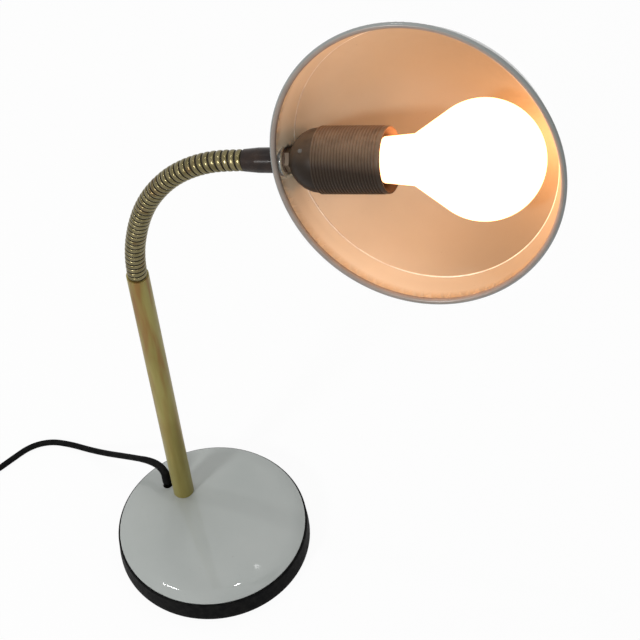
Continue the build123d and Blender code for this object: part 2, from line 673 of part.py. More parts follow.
def plug_body():
    """Flat two-pin plug with a tapered tail round the cord."""
    front = PLUG_TAIL_L + PLUG_L
    half = PLUG_W / 2
    back = PLUG_BACK_W / 2
    outline = make_face(Polyline((PLUG_TAIL_L, -back), (front * 0.62, -half), (front, -half),
                                 (front, half), (front * 0.62, half), (PLUG_TAIL_L, back), close=True))
    body = extrude(outline, PLUG_T)
    body = fillet(body.edges().filter_by(Axis.Z), PLUG_EDGE)
    middle = Pos(0, 0, ROUTE_PLUG[-1][2]) * Rot(0, 90, 0)
    body += middle * rod(PLUG_TAIL_D / 2, CORD_END, PLUG_TAIL_L + 2)
    for y in (-PIN_PITCH / 2, PIN_PITCH / 2):
        body -= Pos(0, y, 0) * middle * rod(PIN_D / 2 + FIT, front - PIN_ROOT, front + 1)
    return along(ROUTE_PLUG, True) * body


def plug_pins():
    front = PLUG_TAIL_L + PLUG_L
    middle = Pos(0, 0, ROUTE_PLUG[-1][2]) * Rot(0, 90, 0)
    pin = middle * rod(PIN_D / 2, front - PIN_ROOT + 1, front + PIN_L)
    return [along(ROUTE_PLUG, True) * Pos(0, y, 0) * pin for y in (-PIN_PITCH / 2, PIN_PITCH / 2)]


# ------------------------------------------------------------------ the lamp
os.makedirs("parts", exist_ok=True)

keep("base_cover", base_cover())
keep("base_band", base_band())
keep("base_weight", base_weight())
keep("base_pad", base_pad())
keep("stem_tube", stem_tube())
keep("stem_foot_plug", stem_foot_plug())
keep("stem_nipple", stem_nipple())
keep("stem_washer", stem_washer())
keep("stem_nut", stem_nut())
keep("stem_leads", *stem_leads())
keep("neck_plug", neck_plug())

frames, neck_end = neck_frames()
for i, frame in enumerate(frames):
    last = i == len(frames) - 1
    keep("neck_link_%02d" % (i + 1), frame * neck_link(last))

side = NECK_SIDE * -1
head = Plane(origin=neck_end, x_dir=side, z_dir=heading(HEAD_LEAN)).location * Rot(0, 0, SHADE_ROLL)
keep("ferrule", head * ferrule())
keep("head_nipple", head * head_nipple())
keep("shade", head * shade())
keep("shade_washer", head * shade_washer())
keep("shade_nut", head * shade_nut())
keep("holder_cap", head * holder_cap())
keep("holder_grub_screw", head * grub_screw())
keep("holder_jacket", head * holder_jacket())
keep("holder_insert", head * holder_insert())
keep("holder_terminal_screws", *[head * screw for screw in terminal_screws()])
keep("holder_shell", head * holder_shell())
keep("holder_tongue", head * holder_tongue())
keep("bulb_glass", head * bulb_glass())
keep("bulb_cap", head * bulb_cap())
keep("bulb_insulator", head * bulb_insulator())
keep("bulb_contact", head * bulb_contact())

keep("cord_gland", cord_gland())
keep("cord_lamp_side", cord_tube("cord_lamp_side", ROUTE_LAMP))
keep("cord_middle", cord_tube("cord_middle", ROUTE_MIDDLE))
keep("cord_plug_side", cord_tube("cord_plug_side", ROUTE_PLUG))
keep("cord_coil", cord_coil())
keep("coil_ties", *coil_ties())
lower, upper = switch_shells()
keep("switch_lower", lower)
keep("switch_upper", upper)
keep("switch_rocker", switch_rocker())
keep("switch_screws", *switch_screws())
keep("plug_body", plug_body())
keep("plug_pins", *plug_pins())
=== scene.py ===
"""Gooseneck desk lamp: looks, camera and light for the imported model.

Metres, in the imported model's own frame. Sizes below are in millimetres and are
turned into metres where they are used.
"""
import json
from math import cos, pi, radians, sin

import bpy
from mathutils import Matrix, Vector

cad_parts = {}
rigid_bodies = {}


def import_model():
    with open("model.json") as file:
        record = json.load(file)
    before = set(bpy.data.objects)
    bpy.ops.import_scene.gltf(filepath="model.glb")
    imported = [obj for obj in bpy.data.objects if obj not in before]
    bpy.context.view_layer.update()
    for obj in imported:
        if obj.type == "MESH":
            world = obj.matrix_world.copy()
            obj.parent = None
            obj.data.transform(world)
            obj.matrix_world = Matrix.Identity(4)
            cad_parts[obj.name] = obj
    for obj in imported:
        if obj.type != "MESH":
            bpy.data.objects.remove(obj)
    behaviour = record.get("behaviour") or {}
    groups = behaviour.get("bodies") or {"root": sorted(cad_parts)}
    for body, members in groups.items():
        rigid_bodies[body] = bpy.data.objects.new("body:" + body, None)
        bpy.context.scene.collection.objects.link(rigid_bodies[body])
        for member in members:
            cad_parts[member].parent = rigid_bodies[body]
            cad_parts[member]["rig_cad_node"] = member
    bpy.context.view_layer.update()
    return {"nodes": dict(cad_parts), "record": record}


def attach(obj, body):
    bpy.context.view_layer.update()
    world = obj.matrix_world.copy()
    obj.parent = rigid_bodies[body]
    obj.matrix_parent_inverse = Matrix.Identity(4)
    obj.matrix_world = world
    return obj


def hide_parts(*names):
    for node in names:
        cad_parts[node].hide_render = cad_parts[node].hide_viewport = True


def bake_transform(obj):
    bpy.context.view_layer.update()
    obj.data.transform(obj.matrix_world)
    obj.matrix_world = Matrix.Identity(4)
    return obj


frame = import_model()
bpy.ops.object.select_all(action="DESELECT")
NODES = frame["nodes"]

MM = 0.001

# ------------------------------------------------------------------ camera
CAMERA_AT = (-438.29, -858.04, 1454.38)
CAMERA_YAW = 32.6185      # from +Y towards +X
CAMERA_DOWN = 51.8514
CAMERA_ROLL = -7.069
CAMERA_LENS = 136.906
CAMERA_SENSOR = 36
CAMERA_REACH = 50         # metres


def add_camera():
    """The camera that everything is seen from."""
    yaw, down, roll = radians(CAMERA_YAW), radians(CAMERA_DOWN), radians(CAMERA_ROLL)
    ahead = Vector((sin(yaw) * cos(down), cos(yaw) * cos(down), -sin(down)))
    level = Vector((cos(yaw), -sin(yaw), 0))
    above = level.cross(ahead)
    right = level * cos(roll) + above * sin(roll)
    up = above * cos(roll) - level * sin(roll)
    turn = Matrix((right, up, -ahead)).transposed().to_4x4()
    bpy.ops.object.camera_add()
    camera = bpy.context.object
    camera.name = "camera"
    camera.matrix_world = Matrix.Translation(Vector(CAMERA_AT) * MM) @ turn
    camera.data.lens = CAMERA_LENS
    camera.data.sensor_width = CAMERA_SENSOR
    camera.data.clip_end = CAMERA_REACH
    bpy.context.scene.camera = camera


add_camera()

# ------------------------------------------------------------------ mains lead
CORD_D = 4.4
LEAD_STEPS = 8            # lengths between two points of a lead's line
LEAD_ROUNDNESS = 5
ROUTE_LAMP = [
    (-5.5, 45.5, 30.5), (-5.5, 45.5, 36.6), (-6.2, 52.0, 39.6), (-8.6, 62.0, 36.6),
    (-12.3, 75.0, 29.0), (-16.0, 89.0, 20.0), (-20.4, 103.5, 11.2), (-26.0, 119.0, 4.4),
    (-33.2, 133.5, 2.5), (-43.0, 145.8, 2.3), (-57.0, 152.0, 2.4), (-73.5, 151.6, 2.3),
    (-90.0, 150.6, 2.6), (-104.5, 152.2, 4.9), (-117.0, 156.0, 6.0)]
ROUTE_MIDDLE = [
    (-176.3, 174.1, 6.0), (-190.0, 178.6, 5.3), (-201.4, 187.4, 4.2), (-207.2, 200.4, 4.4),
    (-207.6, 213.6, 5.2), (-205.4, 226.0, 6.6)]
ROUTE_PLUG = [
    (-168.0, 263.4, 12.2), (-154.8, 262.6, 10.4), (-141.8, 260.0, 8.0), (-129.0, 257.4, 6.6),
    (-116.5, 258.2, 6.8)]
COIL_AT = (-168.0, 226.0)
COIL_TURN_R = 26.2
COIL_Z = 10.2
BUNDLE_R = 6.5            # the eight turns lie in a ring round the bundle's middle
COIL_TURNS = 8.25
COIL_STEPS = 16           # points in one turn
COIL_EDGE_R = 37.4        # where the lead joins and leaves the coil
COIL_JOIN = 0.25          # share of a turn in which it does so
SLOT_START = -25.0
SLOT_DRIFT = -38.75       # degrees round the bundle in one turn


def coil_points():
    """The turns, clockwise from the left of the coil, each drifting round the bundle."""
    points = []
    for i in range(1, round(COIL_TURNS * COIL_STEPS)):
        turn = i / COIL_STEPS
        around = pi - 2 * pi * turn
        slot = radians(SLOT_START + SLOT_DRIFT * min(turn, COIL_TURNS - COIL_JOIN))
        stray = max(0, 1 - turn / COIL_JOIN, 1 - (COIL_TURNS - turn) / COIL_JOIN)
        radius = COIL_TURN_R + BUNDLE_R * cos(slot)
        radius += (COIL_EDGE_R - radius) * stray * stray
        points.append((COIL_AT[0] + radius * cos(around), COIL_AT[1] + radius * sin(around),
                       COIL_Z + BUNDLE_R * sin(slot)))
    return points


def lead(name, points, widths=None):
    """A round lead along one smooth line, of one width or of a width for each point."""
    data = bpy.data.curves.new(name, "CURVE")
    data.dimensions = "3D"
    spline = data.splines.new("NURBS")
    spline.points.add(len(points) - 1)
    for i, (x, y, z) in enumerate(points):
        spline.points[i].co = (x * MM, y * MM, z * MM, 1)
        spline.points[i].radius = (widths[i] if widths else CORD_D) / 2 * MM
    spline.order_u = 3
    spline.use_endpoint_u = True
    spline.resolution_u = LEAD_STEPS
    data.bevel_depth = 1
    data.bevel_resolution = LEAD_ROUNDNESS
    data.use_fill_caps = True
    piece = bpy.data.objects.new(name, data)
    bpy.context.collection.objects.link(piece)
    return piece


lead_to_switch = lead("lead_to_switch", ROUTE_LAMP)
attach(lead_to_switch, "stand")
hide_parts("cord_lamp_side")

lead_to_plug = lead("lead_to_plug", ROUTE_MIDDLE + coil_points() + ROUTE_PLUG)
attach(lead_to_plug, "stand")
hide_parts("cord_middle", "cord_coil", "cord_plug_side")

SLEEVE_FOOT = -5.0        # how far the sleeve reaches down from the lead's first point
SLEEVE_WIDTHS = (6.6, 6.5, 6.1, 5.6, 5.0, 4.6)       # from its foot to its end


def half_way(a, b):
    """The point between two points."""
    return tuple((p + q) / 2 for p, q in zip(a, b))


def strain_relief():
    """Tapered rubber sleeve that stands on the base and follows the lead over its bend."""
    x, y, z = ROUTE_LAMP[0]
    route = [(x, y, z + SLEEVE_FOOT)] + ROUTE_LAMP[:4] + [half_way(ROUTE_LAMP[3], ROUTE_LAMP[4])]
    sleeve = lead("lead_sleeve", route, SLEEVE_WIDTHS)
    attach(sleeve, "stand")
    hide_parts("cord_gland")
    return sleeve


lead_sleeve = strain_relief()

# ------------------------------------------------------------------ neck and head frames
STEM_Y = 33.4
STEM_TOP = 267.0
NECK_START = 268.0
NECK_AZ = -52.5           # degrees, the way the neck leans
LINKS = 12
LINK_L = 13.7
# Degrees from upright, link by link.
LINK_LEAN = (2.5, 7.5, 12.5, 16.0, 20.5, 26.5, 33.0, 39.5, 48.5, 57.5, 68.0, 78.2)
SHADE_ROLL = -22.2        # degrees about the holder's axis
AXIS_DEPTH = 11.7         # the plane of the rim, in front of that axis
SHADE_CENTRE_AT = 109.2   # the shade's middle, along it

NECK_OUT = Vector((cos(radians(NECK_AZ)), sin(radians(NECK_AZ)), 0))
NECK_SIDE = Vector((0, 0, 1)).cross(NECK_OUT)


def heading(lean):
    """Unit vector in the neck's plane, leaning out from upright."""
    return NECK_OUT * sin(radians(lean)) + Vector((0, 0, cos(radians(lean))))


def neck_pivots():
    """The joints of the neck, from the top of the stem to the shade."""
    pivots = [Vector((0, STEM_Y, NECK_START))]
    for lean in LINK_LEAN:
        pivots.append(pivots[-1] + heading(lean) * LINK_L)
    return pivots


PIVOTS = neck_pivots()


def head_place():
    """Millimetres along the lampholder's axis, from the end of the neck, to metres here."""
    z = heading(LINK_LEAN[-1])
    x = -NECK_SIDE
    basis = Matrix((x, z.cross(x), z)).transposed().to_4x4()
    roll = Matrix.Rotation(radians(SHADE_ROLL), 4, "Z")
    return Matrix.Scale(MM, 4) @ Matrix.Translation(PIVOTS[-1]) @ basis @ roll


HEAD = head_place()
SHADE = HEAD @ Matrix.Translation((AXIS_DEPTH, 0, SHADE_CENTRE_AT)) @ Matrix(
    ((0, 0, -1, 0), (0, -1, 0, 0), (-1, 0, 0, 0), (0, 0, 0, 1)))
STAND = Matrix.Scale(MM, 4)
BULB_AT = 147.4           # middle of the bulb's globe, along the holder's axis
BULB_MIDDLE = HEAD @ Vector((0, 0, BULB_AT))
CREASE_AT = 19.2          # the crease, behind the plane of the rim
UPPER_SIDE = Vector((0.61, 0.47, 0.64))    # across the holder, up and back


# ------------------------------------------------------------------ material helpers
def material(name, colour, rough, metal=0.0, **sockets):
    """A Principled material; sockets are set on the shader itself."""
    made = bpy.data.materials.new(name)
    made.use_nodes = True
    shader = made.node_tree.nodes["Principled BSDF"]
    shader.inputs["Base Color"].default_value = colour + (1,)
    shader.inputs["Roughness"].default_value = rough
    shader.inputs["Metallic"].default_value = metal
    for socket, value in sockets.items():
        shader.inputs[socket.replace("_", " ")].default_value = value
    return made


def add(made, kind, **settings):
    """A new node of a material."""
    node = made.node_tree.nodes.new(kind)
    for key, value in settings.items():
        setattr(node, key, value)
    return node


def link(made, out, into):
    """Connects one node's output to another's input."""
    made.node_tree.links.new(out, into)


def pattern(made, size, detail=4.0, rough=0.55, stretch=(1, 1, 1), shift=(0, 0, 0)):
    """Noise with features of about that size in millimetres, on the piece's own coordinates."""
    where = add(made, "ShaderNodeTexCoord")
    mapping = add(made, "ShaderNodeMapping")
    mapping.inputs["Scale"].default_value = stretch
    mapping.inputs["Location"].default_value = shift
    noise = add(made, "ShaderNodeTexNoise")
    noise.inputs["Scale"].default_value = 1 / (size * MM)
    noise.inputs["Detail"].default_value = detail
    noise.inputs["Roughness"].default_value = rough
    link(made, where.outputs["Object"], mapping.inputs["Vector"])
    link(made, mapping.outputs["Vector"], noise.inputs["Vector"])
    return noise.outputs["Fac"]


def band(made, value, low, high, dark=0.0, light=1.0):
    """A number from dark to light as value goes from low to high."""
    node = add(made, "ShaderNodeMapRange")
    node.inputs["From Min"].default_value = low
    node.inputs["From Max"].default_value = high
    node.inputs["To Min"].default_value = dark
    node.inputs["To Max"].default_value = light
    link(made, value, node.inputs["Value"])
    return node.outputs["Result"]


def combined(made, operation, first, second):
    """Two numbers through one arithmetic step; the second may be a constant."""
    node = add(made, "ShaderNodeMath", operation=operation)
    link(made, first, node.inputs[0])
    if isinstance(second, float):
        node.inputs[1].default_value = second
    else:
        link(made, second, node.inputs[1])
    return node.outputs["Value"]


def distance_from(made, point):
    """Metres from a point fixed on the piece."""
    where = add(made, "ShaderNodeTexCoord")
    node = add(made, "ShaderNodeVectorMath", operation="DISTANCE")
    node.inputs[1].default_value = point
    link(made, where.outputs["Object"], node.inputs[0])
    return node.outputs["Value"]


def depth_along(made, start, axis):
    """Metres from a plane through start, counted along an axis fixed on the piece."""
    where = add(made, "ShaderNodeTexCoord")
    offset = add(made, "ShaderNodeVectorMath", operation="SUBTRACT")
    offset.inputs[1].default_value = start
    depth = add(made, "ShaderNodeVectorMath", operation="DOT_PRODUCT")
    depth.inputs[1].default_value = axis
    link(made, where.outputs["Object"], offset.inputs[0])
    link(made, offset.outputs["Vector"], depth.inputs[0])
    return depth.outputs["Value"]


def tint(made, share, first, second):
    """A colour between two, by share; either may be another node's colour."""
    node = add(made, "ShaderNodeMix", data_type="RGBA")
    link(made, share, node.inputs["Factor"])
    sockets = [s for s in node.inputs if s.type == "RGBA"]
    for socket, colour in zip(sockets, (first, second)):
        if isinstance(colour, tuple):
            socket.default_value = colour + (1,)
        else:
            link(made, colour, socket)
    return [s for s in node.outputs if s.type == "RGBA"][0]


def scaled(colour, level):
    """A colour made darker or paler."""
    return tuple(level * c for c in colour)


def mottled(made, first, second, size, detail, low, high):
    """A colour that goes from one to the other in patches of about that size."""
    return tint(made, band(made, pattern(made, size, detail), low, high), first, second)


def uneven(made, least, most, size, detail, **settings):
    """A roughness that wanders between two values."""
    return band(made, pattern(made, size, detail, **settings), 0.3, 0.7, least, most)


def paint(made, colour=None, rough=None, height=None, strength=0.2, depth=0.1):
    """Connects a colour, a roughness and a height, depth millimetres high, to the shader."""
    shader = made.node_tree.nodes["Principled BSDF"]
    if colour is not None:
        link(made, colour, shader.inputs["Base Color"])
    if rough is not None:
        link(made, rough, shader.inputs["Roughness"])
    if height is not None:
        bump = add(made, "ShaderNodeBump")
        bump.inputs["Strength"].default_value = strength
        bump.inputs["Distance"].default_value = depth * MM
        link(made, height, bump.inputs["Height"])
        link(made, bump.outputs["Normal"], shader.inputs["Normal"])
    return made


# ------------------------------------------------------------------ lacquer and enamel
def grey_lacquer(name="grey_lacquer", level=1.0):
    """Pale grey gloss lacquer with a little dust; a lower level is a darker grey."""
    pale = scaled((0.375, 0.396, 0.380), level)
    deep = scaled((0.342, 0.366, 0.351), level)
    dusty = scaled((0.30, 0.30, 0.275), level)
    made = material(name, (0.37, 0.39, 0.375), 0.45, Coat_Weight=0.62, Coat_Roughness=0.04)
    colour = mottled(made, deep, pale, size=60, detail=3, low=0.35, high=0.65)
    colour = mottled(made, colour, dusty, size=1.6, detail=2, low=0.72, high=0.78)
    return paint(made, colour, uneven(made, 0.40, 0.52, size=14, detail=6),
                 pattern(made, size=3.0, detail=2), strength=0.03, depth=0.03)


BULB_NEAR = 40            # the painted shade on the enamel is darkest this near to the bulb's middle
BULB_FAR = 118            # and not darkened at all this far from it
BULB_SHADE_FALL = 2.9      # how fast that painted shade falls off between them
CREASE_SOFT = 0.5         # half the width over which the painted light on the skirt begins
SKIRT_LIGHT_SHARE = 0.22        # how strong that painted light is


def white_enamel():
    """Specked enamel, with painted shade that darkens it towards the bulb to even out the bulb's light,
    and painted light on the skirt.
    """
    cream, white = (0.86, 0.77, 0.59), (0.93, 0.84, 0.65)
    painted_shade_near_bulb = (0.225, 0.195, 0.135)
    skirt_painted_light = (0.88, 0.77, 0.56)
    brown_speck = (0.20, 0.15, 0.11)
    made = material("white_enamel", (0.5, 0.46, 0.41), 0.5, Coat_Weight=0.4, Coat_Roughness=0.22)
    colour = mottled(made, cream, white, size=35, detail=4, low=0.3, high=0.7)
    # painted shade: the enamel darkens towards the bulb, which evens out the bulb's light
    away = band(made, distance_from(made, BULB_MIDDLE), BULB_NEAR * MM, BULB_FAR * MM)
    away = combined(made, "POWER", away, BULB_SHADE_FALL)
    colour = tint(made, away, painted_shade_near_bulb, colour)
    # painted light: the skirt between the rim and the crease is tinted a warm pale tone
    depth = depth_along(made, SHADE.translation, (SHADE.to_3x3() @ Vector((0, 0, 1))).normalized())
    skirt = band(made, depth, (CREASE_AT + CREASE_SOFT) * MM, (CREASE_AT - CREASE_SOFT) * MM,
                 0, SKIRT_LIGHT_SHARE)
    colour = tint(made, skirt, colour, skirt_painted_light)
    colour = mottled(made, colour, brown_speck, size=2.2, detail=2, low=0.76, high=0.80)
    return paint(made, colour, uneven(made, 0.44, 0.56, size=8, detail=5),
                 pattern(made, size=2.4, detail=3), strength=0.05, depth=0.04)


def rim_enamel_painted_shade():
    """The white enamel of the rolled rim, drawn dark in two tones as painted shade."""
    # both tones are painted shade on the rim's white enamel
    clean, rubbed = (0.27, 0.225, 0.19), (0.23, 0.19, 0.16)
    made = material("rim_enamel_painted_shade", (0.25, 0.21, 0.175), 0.45, Coat_Weight=0.3, Coat_Roughness=0.2)
    return paint(made, mottled(made, clean, rubbed, size=12, detail=4, low=0.35, high=0.65))


def painted_crease_highlight():
    """Enamel along the crease, paler than the rest and glowing faintly: a painted highlight where the
    bulb's light catches the crease.
    """
    bright, worn = (0.92, 0.88, 0.76), (0.72, 0.66, 0.56)
    # the paler colour and the faint glow are a painted highlight
    made = material("painted_crease_highlight", (0.9, 0.86, 0.74), 0.35, Coat_Weight=0.8, Coat_Roughness=0.15,
                    Emission_Color=(1.0, 0.64, 0.38, 1), Emission_Strength=0.05)
    return paint(made, mottled(made, bright, worn, size=9, detail=4, low=0.4, high=0.65))


def brown_enamel():
    """Near-black brown gloss enamel."""
    dark, brown = (0.014, 0.010, 0.009), (0.030, 0.018, 0.013)
    made = material("brown_enamel", (0.012, 0.009, 0.007), 0.22, Coat_Weight=0.15, Coat_Roughness=0.05,
                    Specular_IOR_Level=0.12)
    colour = mottled(made, dark, brown, size=7, detail=4, low=0.3, high=0.7)
    return paint(made, colour, uneven(made, 0.16, 0.32, size=5, detail=5),
                 pattern(made, size=2.5, detail=2), strength=0.05, depth=0.04)


# ------------------------------------------------------------------ metals
LENGTHWISE = (1, 1, 0.10)
BROWN_FROM = 60           # the tube's brown streaks come in between these heights
BROWN_TO = 200


def aged_brass():
    """Tarnished brass tube: olive gold, with brown streaks along its length."""
    gold, olive, brown = (0.315, 0.27, 0.085), (0.26, 0.215, 0.062), (0.26, 0.135, 0.040)
    made = material("aged_brass", (0.30, 0.24, 0.08), 0.38, 0.35, Specular_IOR_Level=0.1)
    streak = pattern(made, 7, 3, 0.5, LENGTHWISE)
    colour = tint(made, band(made, streak, 0.38, 0.62), gold, olive)
    brown_streak = pattern(made, 9, 3, 0.5, LENGTHWISE, shift=(3, 1, 2))
    brown_share = band(made, brown_streak, 0.47, 0.60, 0, 0.9)
    high = band(made, depth_along(made, (0, 0, 0), (0, 0, 1)), BROWN_FROM * MM, BROWN_TO * MM)
    colour = tint(made, combined(made, "MULTIPLY", brown_share, high), colour, brown)
    return paint(made, colour, uneven(made, 0.30, 0.46, size=4, detail=6, rough=0.6, stretch=LENGTHWISE),
                 pattern(made, size=1.1, detail=4), strength=0.08, depth=0.03)


def neck_brass():
    """The neck's brass: a darker copy of the tube's, as painted shade for the dark surroundings it
    mirrors, with brown patches from handling.
    """
    gold, olive, brown = (0.21, 0.18, 0.095), (0.13, 0.11, 0.05), (0.11, 0.065, 0.025)
    made = material("neck_brass", (0.15, 0.13, 0.065), 0.26, 1.0)
    colour = mottled(made, gold, olive, size=5, detail=5, low=0.35, high=0.65)
    handled = band(made, pattern(made, 12, 4, shift=(4, 2, 1)), 0.58, 0.70, 0, 0.7)
    colour = tint(made, handled, colour, brown)
    return paint(made, colour, uneven(made, 0.20, 0.34, size=3, detail=5),
                 pattern(made, size=1.0, detail=3), strength=0.10, depth=0.03)


def groove_painted_shade():
    """Painted shade in the grooves of the neck."""
    black, brown = (0.010, 0.008, 0.006), (0.035, 0.026, 0.014)
    made = material("groove_painted_shade", (0.018, 0.014, 0.009), 0.6, 0.6)
    return paint(made, tint(made, pattern(made, size=3, detail=4), black, brown))


def dull_brass():
    """Lacquered brass in dark browns."""
    brown, tan = (0.085, 0.058, 0.036), (0.16, 0.115, 0.075)
    made = material("dull_brass", (0.10, 0.07, 0.045), 0.5, 0.3)
    colour = tint(made, pattern(made, size=2.5, detail=5), brown, tan)
    return paint(made, colour, None, pattern(made, size=0.8, detail=3), strength=0.10, depth=0.03)


def plain_metal(name, colour, rough):
    """Bare metal, duller in patches."""
    made = material(name, colour, rough, 1.0)
    patchy = mottled(made, colour, scaled(colour, 0.78), size=3, detail=5, low=0.3, high=0.7)
    return paint(made, patchy, uneven(made, rough * 0.8, rough * 1.3, size=1.5, detail=4),
                 pattern(made, size=0.6, detail=3), strength=0.10, depth=0.03)


def rough_iron():
    """Cast iron with a sandy skin and a little rust."""
    iron, rusty = (0.05, 0.05, 0.052), (0.10, 0.07, 0.05)
    made = material("cast_iron", (0.055, 0.055, 0.058), 0.7, 0.8)
    colour = mottled(made, iron, rusty, size=6, detail=6, low=0.4, high=0.7)
    return paint(made, colour, None, pattern(made, size=1.2, detail=6), strength=0.6, depth=0.25)


# ------------------------------------------------------------------ plastics, rubber, glass
LIT_SIDE_FROM = 1             # painted light on the upper side comes in from here to there above the holder's axis
LIT_SIDE_TO = 21


def phenolic(name="brown_phenolic", level=1.0):
    """Brown phenolic moulding, faintly mottled, with painted light making its upper side paler."""
    low_side = scaled((0.036, 0.024, 0.016), level)
    # painted light: the upper side is drawn many times paler than the lower side
    painted_lit_side = scaled((0.26, 0.17, 0.108), level)
    made = material(name, (0.075, 0.055, 0.038), 0.4, Specular_IOR_Level=0.12)
    height = depth_along(made, HEAD.translation, UPPER_SIDE)
    colour = tint(made, band(made, height, LIT_SIDE_FROM * MM, LIT_SIDE_TO * MM), low_side, painted_lit_side)
    mottle = band(made, pattern(made, 9, 6, 0.65), 0.45, 0.68, 0, 0.35)
    colour = tint(made, mottle, colour, low_side)
    return paint(made, colour, uneven(made, 0.32, 0.52, size=6, detail=5),
                 pattern(made, size=0.9, detail=4), strength=0.10, depth=0.04)


def satin_rubber(name="black_rubber", level=0.006, rough=0.5):
    """Black rubber, greyer in patches; level is how black it is."""
    black, grey = scaled((1, 1, 1.05), level), scaled((2.1, 2.05, 1.95), level)
    made = material(name, (level, level, level), rough, Specular_IOR_Level=0.015)
    colour = mottled(made, black, grey, size=4, detail=6, low=0.42, high=0.72)
    return paint(made, colour, uneven(made, rough * 0.85, rough * 1.2, size=3, detail=5),
                 pattern(made, size=0.7, detail=3), strength=0.12, depth=0.03)


def felt():
    """Black felt with a nap."""
    black, grey = (0.012, 0.012, 0.012), (0.045, 0.045, 0.045)
    made = material("black_felt", (0.02, 0.02, 0.02), 0.95, Sheen_Weight=0.5)
    colour = tint(made, pattern(made, size=0.8, detail=6), black, grey)
    return paint(made, colour, None, pattern(made, size=0.5, detail=5, stretch=(1, 1, 0.4)),
                 strength=0.8, depth=0.3)


def moulded(name, colour, rough=0.25):
    """Moulded plastic with a fine skin, rubbed a little paler in patches."""
    worn = tuple(min(1, c * 1.2 + 0.002) for c in colour)
    made = material(name, colour, rough, Specular_IOR_Level=0.3)
    patchy = mottled(made, colour, worn, size=9, detail=4, low=0.45, high=0.75)
    return paint(made, patchy, uneven(made, rough * 0.85, rough * 1.2, size=6, detail=4),
                 pattern(made, size=0.8, detail=2), strength=0.02, depth=0.01)


def porcelain():
    """Glazed porcelain."""
    white, ivory = (0.78, 0.76, 0.70), (0.70, 0.67, 0.60)
    made = material("white_porcelain", white, 0.15, Coat_Weight=0.6, Coat_Roughness=0.05)
    colour = mottled(made, white, ivory, size=12, detail=4, low=0.4, high=0.7)
    return paint(made, colour, None, pattern(made, size=3, detail=2), strength=0.05, depth=0.05)


def fibre():
    """Brown pressed fibre."""
    dark, tan = (0.075, 0.042, 0.026), (0.13, 0.082, 0.055)
    made = material("fibre", (0.10, 0.06, 0.04), 0.7)
    colour = tint(made, pattern(made, size=1.5, detail=6), dark, tan)
    return paint(made, colour, None, pattern(made, size=0.5, detail=4), strength=0.2, depth=0.04)


BULB_GLOW = 5.2


def lit_opal():
    """Opal glass, alight."""
    amber, paler_amber = (1.0, 0.435, 0.195), (1.0, 0.465, 0.21)
    made = material("opal_glass", (0.9, 0.87, 0.8), 0.12, Coat_Weight=0.3, Coat_Roughness=0.05,
                    Emission_Strength=BULB_GLOW)
    light = mottled(made, amber, paler_amber, size=20, detail=2, low=0.3, high=0.7)
    link(made, light, made.node_tree.nodes["Principled BSDF"].inputs["Emission Color"])
    return paint(made, None, None, pattern(made, size=9, detail=2), strength=0.03, depth=0.1)


# Finishes by the names of the record's material slots.
FINISHES = {
    "grey_lacquer": grey_lacquer(),
    "aged_brass": aged_brass(),
    "bright_brass": plain_metal("bright_brass", (0.60, 0.42, 0.17), 0.25),
    "black_rubber": satin_rubber(),
    "black_cord": satin_rubber("black_cord", 0.006, 0.45),
    "black_felt": felt(),
    "black_tie": satin_rubber("black_tie", 0.015, 0.55),
    "cast_iron": rough_iron(),
    "zinc_steel": plain_metal("zinc_steel", (0.55, 0.56, 0.57), 0.32),
    "plated_pins": plain_metal("plated_pins", (0.72, 0.71, 0.68), 0.16),
    "lead_insulation": moulded("lead_insulation", (0.10, 0.03, 0.012), 0.4),
    "brown_enamel": brown_enamel(),
    "fibre": fibre(),
    "brown_bakelite": phenolic(),
    "white_porcelain": porcelain(),
    "opal_glass": lit_opal(),
    "cap_aluminium": plain_metal("cap_aluminium", (0.66, 0.66, 0.65), 0.3),
    "black_vitrite": moulded("black_vitrite", (0.012, 0.012, 0.014), 0.12),
    "solder": plain_metal("solder", (0.45, 0.45, 0.46), 0.45),
    "black_plastic": moulded("black_plastic", (0.008, 0.008, 0.009), 0.34),
    "ivory_plastic": moulded("ivory_plastic", (0.66, 0.60, 0.46), 0.28),
}
# Nodes that are darker than the rest of their slot.
DARKENED = {
    "holder_cap": phenolic("cap_phenolic", 0.55),
    "shade_nut": dull_brass(),
    "holder_grub_screw": plain_metal("dark_steel", (0.10, 0.09, 0.08), 0.4),
}
# The shade's outside: the base's grey lacquer drawn darker, as painted shade.
SHADE_GREY_PAINTED_SHADE = grey_lacquer("shade_grey_painted_shade", 0.6)
WHITE = white_enamel()
RIM_PAINTED_SHADE = rim_enamel_painted_shade()
CREASE_HIGHLIGHT = painted_crease_highlight()
NECK_BRASS_PAINTED_SHADE = neck_brass()
GROOVE_SHADE = groove_painted_shade()


def dress_nodes():
    """Every carried-over node takes the finish of its material slot."""
    for entry in frame["record"]["subparts"]:
        data = NODES[entry["node"]].data
        data.materials.clear()
        data.materials.append(DARKENED.get(entry["node"], FINISHES[entry["material_slot"]]))


dress_nodes()


for cord_piece in (lead_to_switch, lead_to_plug, lead_sleeve):
    cord_piece.data.materials.append(FINISHES["black_cord"])


# ------------------------------------------------------------------ modelling helpers
TOUCHING = 0.001          # points nearer than this are merged


def activate(piece):
    """Makes a piece the only selected one, and the active one."""
    bpy.ops.object.select_all(action="DESELECT")
    piece.select_set(True)
    bpy.context.view_layer.objects.active = piece


def finish_piece(piece, name, slot_name, body, *nodes, smooth):
    """Names a placed piece, gives it its finish, smooths it, ties it to its body and hides the nodes it
    stands for.
    """
    piece.name = name
    if not piece.data.materials:
        piece.data.materials.append(FINISHES[slot_name])
    activate(piece)
    bpy.ops.object.shade_smooth_by_angle(angle=radians(smooth))
    bpy.ops.object.select_all(action="DESELECT")
    if body:
        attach(piece, body)
    if nodes:
        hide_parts(*nodes)


